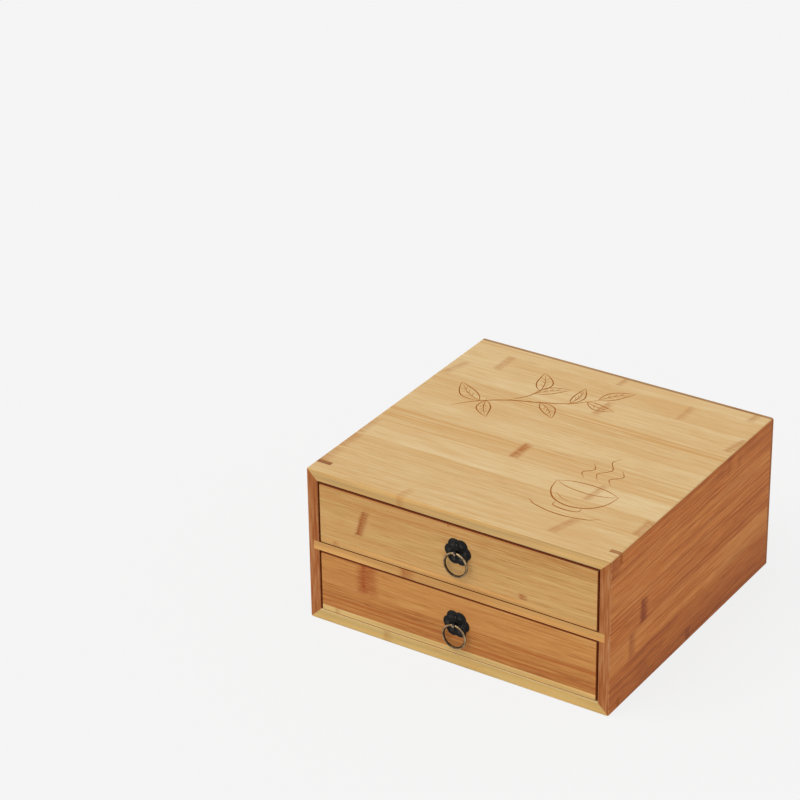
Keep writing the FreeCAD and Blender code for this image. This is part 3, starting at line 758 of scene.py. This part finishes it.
def plate_relief(x, z, share):
    """Height of the plate's front above its back, where share is 1 on the rim."""
    reach = math.hypot(x, z)
    angle = math.atan2(z, x)
    lobe = round(angle / SECTOR) * SECTOR
    off_lobe = angle - lobe
    to_petal = math.hypot(x - PETAL_PITCH * math.cos(lobe), z - PETAL_PITCH * math.sin(lobe))
    to_notch = abs(reach * math.sin(off_lobe - math.copysign(SECTOR / 2, off_lobe)))
    to_nail = math.hypot(x, z - NAIL_RISE)

    petal = 1 - step(to_petal, PETAL_TOP * PETAL_RADIUS, PETAL_RADIUS)
    vein = hump(reach * math.sin(off_lobe), 0, VEIN_WIDTH) * step(reach, *VEIN_START)
    valley = hump(to_notch, 0, VALLEY_WIDTH) * step(reach, *VALLEY_START)
    rim = hump(share, RIM_PLACE, RIM_WIDTH)
    bead = LOWEST_BEAD + (1 - LOWEST_BEAD) * (0.5 + 0.5 * math.cos(BEADS * angle))
    beads = hump(reach, BEAD_PITCH, BEAD_WIDTH) * bead
    boss = 1 - step(reach, *BOSS_SLOPE)
    eyelet = hump(to_nail, EYELET_PITCH, EYELET_WIDTH) * (1 - rim)
    clear_of_nail = step(to_nail, *NAIL_CLEARANCE)

    pressed = PETAL_HEIGHT * petal - VEIN_DEPTH * vein * petal - VALLEY_DEPTH * valley
    height = FACE_HEIGHT + clear_of_nail * pressed + RIM_HEIGHT * rim
    height += BEAD_HEIGHT * beads + BOSS_HEIGHT * boss + EYELET_HEIGHT * eyelet
    turned_down = 1 - TURN_DOWN * step(share, TURN_DOWN_START, 1)
    return min(height, TALLEST) * turned_down


def make_plate(name, node, material):
    """A back plate pressed from sheet: lobes, petals with veins, a ring of beads and a boss."""
    middle_x, _, middle_z = middle_of(node)
    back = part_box(node)[1][1]

    def loop(share, pressed=True):
        points = []
        for angle in angles(PLATE_TURNS):
            reach = PIN_HOLE_RADIUS + (plate_outline(angle) - PIN_HOLE_RADIUS) * share
            x, z = reach * math.cos(angle), reach * math.sin(angle)
            rise = plate_relief(x, z, share) if pressed else 0.0
            points.append((middle_x + x, back - rise, middle_z + z))
        return points

    front = [loop(count / (PLATE_LOOPS - 1)) for count in range(PLATE_LOOPS)]
    flat_back = [loop(1, pressed=False), loop(0, pressed=False)]
    return add_mesh(name, *loft(front + flat_back, wrap=True), material)


def make_nail(name, node, material):
    """A plate nail: a low round head on a tapered point."""
    x, _, z = middle_of(node)
    (_, top, _), (_, tip, _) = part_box(node)

    def circle(radius, y):
        return [(x + radius * math.cos(angle), y, z + radius * math.sin(angle))
                for angle in angles(NAIL_TURNS)]

    loops = [circle(NAIL_HEAD_RADIUS * share, top + depth * MM) for share, depth in NAIL_HEAD]
    loops.append(circle(NAIL_POINT_RADIUS, tip))
    vertices, faces = loft(loops)
    last = len(vertices) - NAIL_TURNS
    faces += [tuple(reversed(range(NAIL_TURNS))), tuple(range(last, last + NAIL_TURNS))]
    return add_mesh(name, vertices, faces, material)


def make_ring(name, middle, radius, material):
    """A ring of round wire, pinched a little where its ends meet."""
    loops = []
    for angle in angles(RING_TURNS):
        wire = WIRE_RADIUS * (1 - JOINT_DIP * hump(angle, RING_JOINT, JOINT_WIDTH))
        loop = []
        for about in angles(WIRE_SIDES):
            reach = radius + wire * math.cos(about)
            loop.append((
                middle[0] + reach * math.cos(angle),
                middle[1] + wire * math.sin(about),
                middle[2] + reach * math.sin(angle)))
        loops.append(loop)
    return add_mesh(name, *loft(loops, wrap=True), material)


def blackened_steel(name, back, bare):
    """Black finish on pressed steel, rubbed through to bare metal well in front of back."""
    graph = material_graph(name)
    spot = graph.node("ShaderNodeTexCoord").outputs["Object"]
    rise = graph.minus(back, graph.split(spot)[1])
    grain = graph.noise(spot, *STEEL_GRAIN)
    clouds = graph.noise(spot, *STEEL_CLOUDS)
    rubbed = graph.smooth(
        graph.total(graph.math("DIVIDE", rise, RUB_HEIGHT), graph.times(grain, RUB_GRAIN)),
        *RUB_STEP)
    colour = graph.ramp(rubbed, [*BLACKS, (1.0, bare)])["Color"]
    colour = graph.mix(graph.smooth(clouds, *RUST_STEP), colour, RUST)
    graph.bump(grain, STEEL_RELIEF)
    rough = graph.total(
        graph.times(grain, GRAIN_ROUGHNESS), graph.times(rubbed, RUBBED_ROUGHNESS),
        STEEL_ROUGHNESS)
    return graph.finish(Base_Color=colour, Roughness=rough, Metallic=0.2, Specular_IOR_Level=0.25)


def aged_brass_painted_sheen(name, middle, radius):
    """Brass gone dark, with wear and a painted highlight on the front and on the outer side of the
    ring, and a painted dark reflection on its inner side.
    """
    graph = material_graph(name)
    spot = graph.node("ShaderNodeTexCoord").outputs["Object"]
    flat = graph.vectors("MULTIPLY", graph.vectors("SUBTRACT", spot, middle), (1, 0, 1))
    reach = graph.node("ShaderNodeVectorMath", {0: flat}, operation="LENGTH").outputs["Value"]
    outward = graph.math("DIVIDE", graph.minus(reach, radius), WIRE_RADIUS)
    forward = graph.math("DIVIDE", graph.minus(middle[1], graph.split(spot)[1]), WIRE_RADIUS)
    clouds = graph.noise(spot, *BRASS_CLOUDS)
    # Painted highlight and wear towards the outside and the front, painted dark reflection towards
    # the inside
    worn = graph.total(
        graph.times(outward, BRIGHT_OUTSIDE), graph.times(forward, BRIGHT_FRONT),
        graph.times(clouds, BRIGHT_CLOUDS))
    colour = graph.ramp(graph.smooth(worn, *BRIGHT_STEP), BRASS_COLOURS)["Color"]
    graph.bump(graph.noise(spot, *BRASS_PITS), BRASS_RELIEF)
    rough = graph.total(graph.times(clouds, CLOUD_ROUGHNESS), BRASS_ROUGHNESS)
    return graph.finish(Base_Color=colour, Roughness=rough, Metallic=0.9)


def make_pull(level):
    drawer = f"{level}_drawer"
    plate_node, nail_node, pin_node = (
        f"{drawer}_{part}" for part in ("pull_plate", "plate_nail", "split_pin"))

    steel = blackened_steel(f"plate_steel_{level}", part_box(plate_node)[1][1], BARE_STEEL)
    plate = make_plate(f"{level}_plate_pressed", plate_node, steel)
    stand_in(plate, plate_node, drawer)

    nail_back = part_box(nail_node)[0][1] + NAIL_RUB_START
    steel = blackened_steel(f"nail_steel_{level}", nail_back, BARE_STEEL)
    nail = make_nail(f"{level}_plate_nail_round", nail_node, steel)
    stand_in(nail, nail_node, drawer)

    ring_node = f"{level}_ring"
    low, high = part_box(ring_node)
    middle = middle_of(ring_node)
    radius = (high[0] - low[0]) / 2 - WIRE_RADIUS
    brass = aged_brass_painted_sheen(f"aged_brass_painted_sheen_{level}", middle, radius)
    ring = make_ring(f"{level}_ring_wire", middle, radius, brass)
    stand_in(ring, ring_node, f"{level}_ring")

    pin = nodes[pin_node]
    pin_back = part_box(pin_node)[0][1] + PIN_RUB_START
    pin.data.materials.clear()
    pin.data.materials.append(blackened_steel(f"pin_steel_{level}", pin_back, BARE_PIN))
    bevel = pin.modifiers.new("soft_edges", "BEVEL")
    bevel.width = PIN_BEVEL
    bevel.segments = 2


# ---------------------------------------------------------------- carving on the lid

GROOVE_DEPTH = 0.4 * MM
GROOVE_CLEAR = 0.2 * MM       # how far a cutter stands above the lid
FLAT = 0.999                  # a face turned less than this to any axis is on an arris
STEPS_PER_SPAN = 7
THIN_END = 0.25               # width of a stroke's ends, as a share of its own
SHALLOW_END = 0.3
TAPER = 0.7                   # less than 1 keeps the ends of a stroke short
BURN_FIBRES = (1500, 3)       # noise: its scale and detail
BURN_GRAIN = 0.8              # how much of that is added to a place's share of the depth
BURN_STEP = (0.2, 1.2)
BURN_RELIEF = 0.05 * MM
BURNT_ROUGHNESS = 0.55
CHAR_ROUGHNESS = 0.3          # what the noise adds to it
SCORCHED = srgb(200, 142, 74)
BURNT = srgb(148, 82, 28)

# A leaf's strokes: widths in mm, and points as a share of its length along it, and as a
# share of its breadth out from its rib. A vein's points count from where it starts.
OUTLINE_WIDTH, RIB_WIDTH, LEAF_VEIN_WIDTH = 1.1, 0.8, 0.5
LEAF_OUTLINE = ((0, 0), (0.2, 0.36), (0.45, 0.5), (0.75, 0.3), (1, 0))
LEAF_RIB = (-0.12, 0.2, 0.5, 0.88)
LEAF_VEIN_STARTS = (0.25, 0.42, 0.59)
LEAF_VEIN = ((0, 0), (0.1, 0.16), (0.16, 0.29))


def smooth_curve(points):
    """Points on a smooth curve through the given ones, which are in mm."""
    ends = [Vector(points[0]) * 2 - Vector(points[1]), Vector(points[-1]) * 2 - Vector(points[-2])]
    stations = [ends[0], *map(Vector, points), ends[1]]
    curve = []
    for before, start, end, after in zip(stations, stations[1:], stations[2:], stations[3:]):
        for count in range(STEPS_PER_SPAN):
            t = count / STEPS_PER_SPAN
            curve.append(0.5 * (
                2 * start + (end - before) * t
                + (2 * before - 5 * start + 4 * end - after) * t ** 2
                + (3 * start - before - 3 * end + after) * t ** 3))
    return curve + [stations[-2]]


def leaf(base, tip, breadth, bend):
    """Strokes of a pointed leaf: two edges, a rib that bends to one side, and its veins."""
    base, tip = Vector(base), Vector(tip)
    along = tip - base
    aside = Vector((-along.y, along.x)).normalized()

    def at(share, offset):
        sag = bend * math.sin(math.pi * share)
        return base + along * share + aside * (offset + sag)

    strokes = []
    for side in (-1, 1):
        points = [at(share, side * breadth * out) for share, out in LEAF_OUTLINE]
        strokes.append((points, OUTLINE_WIDTH))
    strokes.append(([at(share, 0) for share in LEAF_RIB], RIB_WIDTH))
    for start in LEAF_VEIN_STARTS:
        for side in (-1, 1):
            points = [at(start + share, side * breadth * out) for share, out in LEAF_VEIN]
            strokes.append((points, LEAF_VEIN_WIDTH))
    return strokes


def tea_sprig():
    """Strokes of a sprig of tea, each as points in mm and a width in mm."""
    strokes = [
        ([(-92, 14), (-78, 30), (-58, 44), (-36, 53), (-14, 64), (2, 80)], 1.5),
        ([(-58, 44), (-48, 58), (-44, 70)], 1.0),
    ]
    strokes += leaf((-76, 32), (-104, 52), 13, 3)
    strokes += leaf((-72, 35), (-58, 12), 11, -2)
    strokes += leaf((-44, 70), (-56, 98), 13, -2)
    strokes += leaf((-46, 64), (-24, 84), 10, 2)
    strokes += leaf((-34, 54), (-14, 36), 11, 2)
    strokes += leaf((-14, 64), (-16, 92), 9, -2)
    strokes += leaf((2, 80), (22, 104), 11, 2)
    strokes += leaf((-4, 73), (22, 70), 9, -2)
    return strokes


def steaming_cup():
    """Strokes of a cup on a saucer: bowl, rim, foot, saucer, shine and three wisps of steam."""
    return [
        ([(38, -44), (41, -58), (50, -69), (64, -73), (78, -69), (87, -58), (90, -44)], 1.5),
        ([(38, -44), (50, -49), (64, -50.5), (78, -49), (90, -44)], 1.0),
        ([(38, -44), (50, -39.5), (64, -38), (78, -39.5), (90, -44)], 1.2),
        ([(53, -72), (54, -77), (64, -79), (74, -77), (75, -72)], 1.1),
        ([(34, -78), (44, -84), (64, -87), (84, -84), (94, -78)], 1.3),
        ([(46, -59), (54, -65), (63, -67)], 0.6),
        ([(53, -31), (48, -24), (54, -16), (49, -8)], 0.9),
        ([(64, -30), (59, -21), (66, -11), (60, 0), (64, 8)], 0.9),
        ([(76, -31), (71, -24), (78, -16), (73, -8)], 0.9),
    ]


def groove_cutter(strokes, level, materials):
    """One mesh of V-shaped bars along the strokes, tapered at both ends, in the last material."""
    vertices, faces = [], []
    for points, width in strokes:
        curve = smooth_curve(points)
        first = len(vertices)
        last = first + 3 * (len(curve) - 1)
        for count, point in enumerate(curve):
            before, after = curve[max(count - 1, 0)], curve[min(count + 1, len(curve) - 1)]
            ahead = (after - before).normalized()
            aside = Vector((-ahead.y, ahead.x))
            share = math.sin(math.pi * count / (len(curve) - 1)) ** TAPER
            half = width / 2 * MM * (THIN_END + (1 - THIN_END) * share)
            deep = GROOVE_DEPTH * (SHALLOW_END + (1 - SHALLOW_END) * share) * min(width, 1.0)
            reach = half * (1 + GROOVE_CLEAR / deep)
            for side in (-1, 1):
                edge = point * MM + aside * side * reach
                vertices.append((edge.x, edge.y, level + GROOVE_CLEAR))
            vertices.append((point.x * MM, point.y * MM, level - deep))
        for a in range(first, last, 3):
            faces += [
                (a + 3, a + 4, a + 1, a), (a + 4, a + 5, a + 2, a + 1), (a + 5, a + 3, a, a + 2)]
        faces += [(first, first + 1, first + 2), (last + 2, last + 1, last)]
    mesh = bpy.data.meshes.new("groove_cutter")
    mesh.from_pydata(vertices, [], faces)
    for material in materials:
        mesh.materials.append(material)
    mesh.polygons.foreach_set("material_index", [len(materials) - 1] * len(mesh.polygons))
    return add_object("groove_cutter", mesh)


def burnt_groove(level):
    """Bamboo scorched by the engraver, darkest at the bottom of a groove."""
    graph = material_graph("burnt_groove")
    spot = graph.node("ShaderNodeTexCoord").outputs["Object"]
    depth = graph.minus(level, graph.split(spot)[2])
    fine = graph.noise(spot, *BURN_FIBRES)
    burn = graph.smooth(graph.total(
        graph.math("DIVIDE", depth, GROOVE_DEPTH), graph.times(fine, BURN_GRAIN)), *BURN_STEP)
    colour = graph.ramp(burn, [(0.0, SCORCHED), (1.0, BURNT)])["Color"]
    graph.bump(fine, BURN_RELIEF)
    rough = graph.total(graph.times(fine, CHAR_ROUGHNESS), BURNT_ROUGHNESS)
    return graph.finish(Base_Color=colour, Roughness=rough, Specular_IOR_Level=GLOSS)


def carve_lid():
    """The lid board again, with the carving cut into its top."""
    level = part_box("top_panel")[1][2]
    lid = add_object("carved_lid", nodes["top_panel"].data.copy())
    lid.data.materials.append(burnt_groove(level))
    cutter = groove_cutter(tea_sprig() + steaming_cup(), level, lid.data.materials)
    cut = lid.modifiers.new("carving", "BOOLEAN")
    cut.operation = "DIFFERENCE"
    cut.solver = "EXACT"
    cut.use_self = True
    cut.object = cutter
    bpy.context.view_layer.update()
    evaluated = lid.evaluated_get(bpy.context.evaluated_depsgraph_get())
    carved = bpy.data.meshes.new_from_object(evaluated)
    lid.modifiers.remove(cut)
    lid.data = carved
    bpy.data.objects.remove(cutter)
    # The flat sides and the grooves stay crisp, and the rounded arrises are smooth
    for face in carved.polygons:
        face.use_smooth = face.material_index == 0 and max(map(abs, face.normal)) < FLAT
    stand_in(lid, "top_panel", "case")


# ---------------------------------------------------------------- stage

BACKGROUND = srgb(245, 245, 245)
CAMERA_PLACE = Vector((0.9875, -1.6852, 1.1998))
CAMERA_AZIMUTH = math.radians(33.513)     # to the left of straight ahead
CAMERA_FALL = math.radians(27.884)        # below the horizon
CAMERA_ROLL = math.radians(-0.919)
CAMERA_LENS = 133.06
CAMERA_SENSOR = 36
SKY = 0.62
SUN = 1.5
SUN_FROM = Vector((-0.45, -0.7, 1.25))
SUN_WIDTH = math.radians(50)
FLOOR_HALF = 6.0
FLOOR_DROP = 0.2 * MM
FLOOR_COLOUR = (0.88, 0.88, 0.88, 1)
FLOOR_GLOW = 0.9          # share of the floor's look that is plain background


def make_camera():
    data = bpy.data.cameras.new("camera")
    data.lens = CAMERA_LENS
    data.sensor_width = CAMERA_SENSOR
    camera = add_object("camera", data)
    ahead = Vector((
        -math.sin(CAMERA_AZIMUTH) * math.cos(CAMERA_FALL),
        math.cos(CAMERA_AZIMUTH) * math.cos(CAMERA_FALL),
        -math.sin(CAMERA_FALL)))
    level_right = Vector((math.cos(CAMERA_AZIMUTH), math.sin(CAMERA_AZIMUTH), 0))
    right = Matrix.Rotation(CAMERA_ROLL, 3, -ahead) @ level_right
    up = right.cross(ahead)
    camera.matrix_world = Matrix((right, up, -ahead)).transposed().to_4x4()
    camera.location = CAMERA_PLACE
    bpy.context.scene.camera = camera


def seen_directly(graph):
    """1 where the camera, a reflection or a see-through piece shows the surroundings."""
    path = graph.node("ShaderNodeLightPath").outputs
    return graph.most(*(path[f"Is {kind} Ray"] for kind in ("Camera", "Glossy", "Transmission")))


def make_lights():
    sun = bpy.data.lights.new("sun", "SUN")
    sun.energy = SUN
    sun.angle = SUN_WIDTH
    add_object("sun", sun).rotation_euler = SUN_FROM.to_track_quat("Z", "Y").to_euler()

    world = bpy.data.worlds.new("sky")
    bpy.context.scene.world = world
    sky = Graph(world, "Background")
    sky.finish(Color=(1, 1, 1, 1), Strength=SKY)
    plain = sky.node("ShaderNodeBackground", {"Color": BACKGROUND})
    sky.cover(seen_directly(sky), plain.outputs[0], "World Output")


def make_floor():
    level = cad_box[0].z - FLOOR_DROP
    corners = [(-1, -1), (1, -1), (1, 1), (-1, 1)]
    mesh = bpy.data.meshes.new("floor")
    mesh.from_pydata([(x * FLOOR_HALF, y * FLOOR_HALF, level) for x, y in corners],
                     [], [(0, 1, 2, 3)])
    graph = material_graph("floor")
    glow = graph.node("ShaderNodeEmission", {"Color": BACKGROUND})
    graph.cover(graph.times(seen_directly(graph), FLOOR_GLOW), glow.outputs[0], "Material Output")
    mesh.materials.append(graph.finish(
        Base_Color=FLOOR_COLOUR, Roughness=0.9, Specular_IOR_Level=0.0))
    add_object("floor", mesh)


dress_case()
dress_drawers()
make_pull("upper")
make_pull("lower")
carve_lid()
make_floor()
make_lights()
make_camera()

scene = bpy.context.scene
scene.view_settings.view_transform = "Standard"
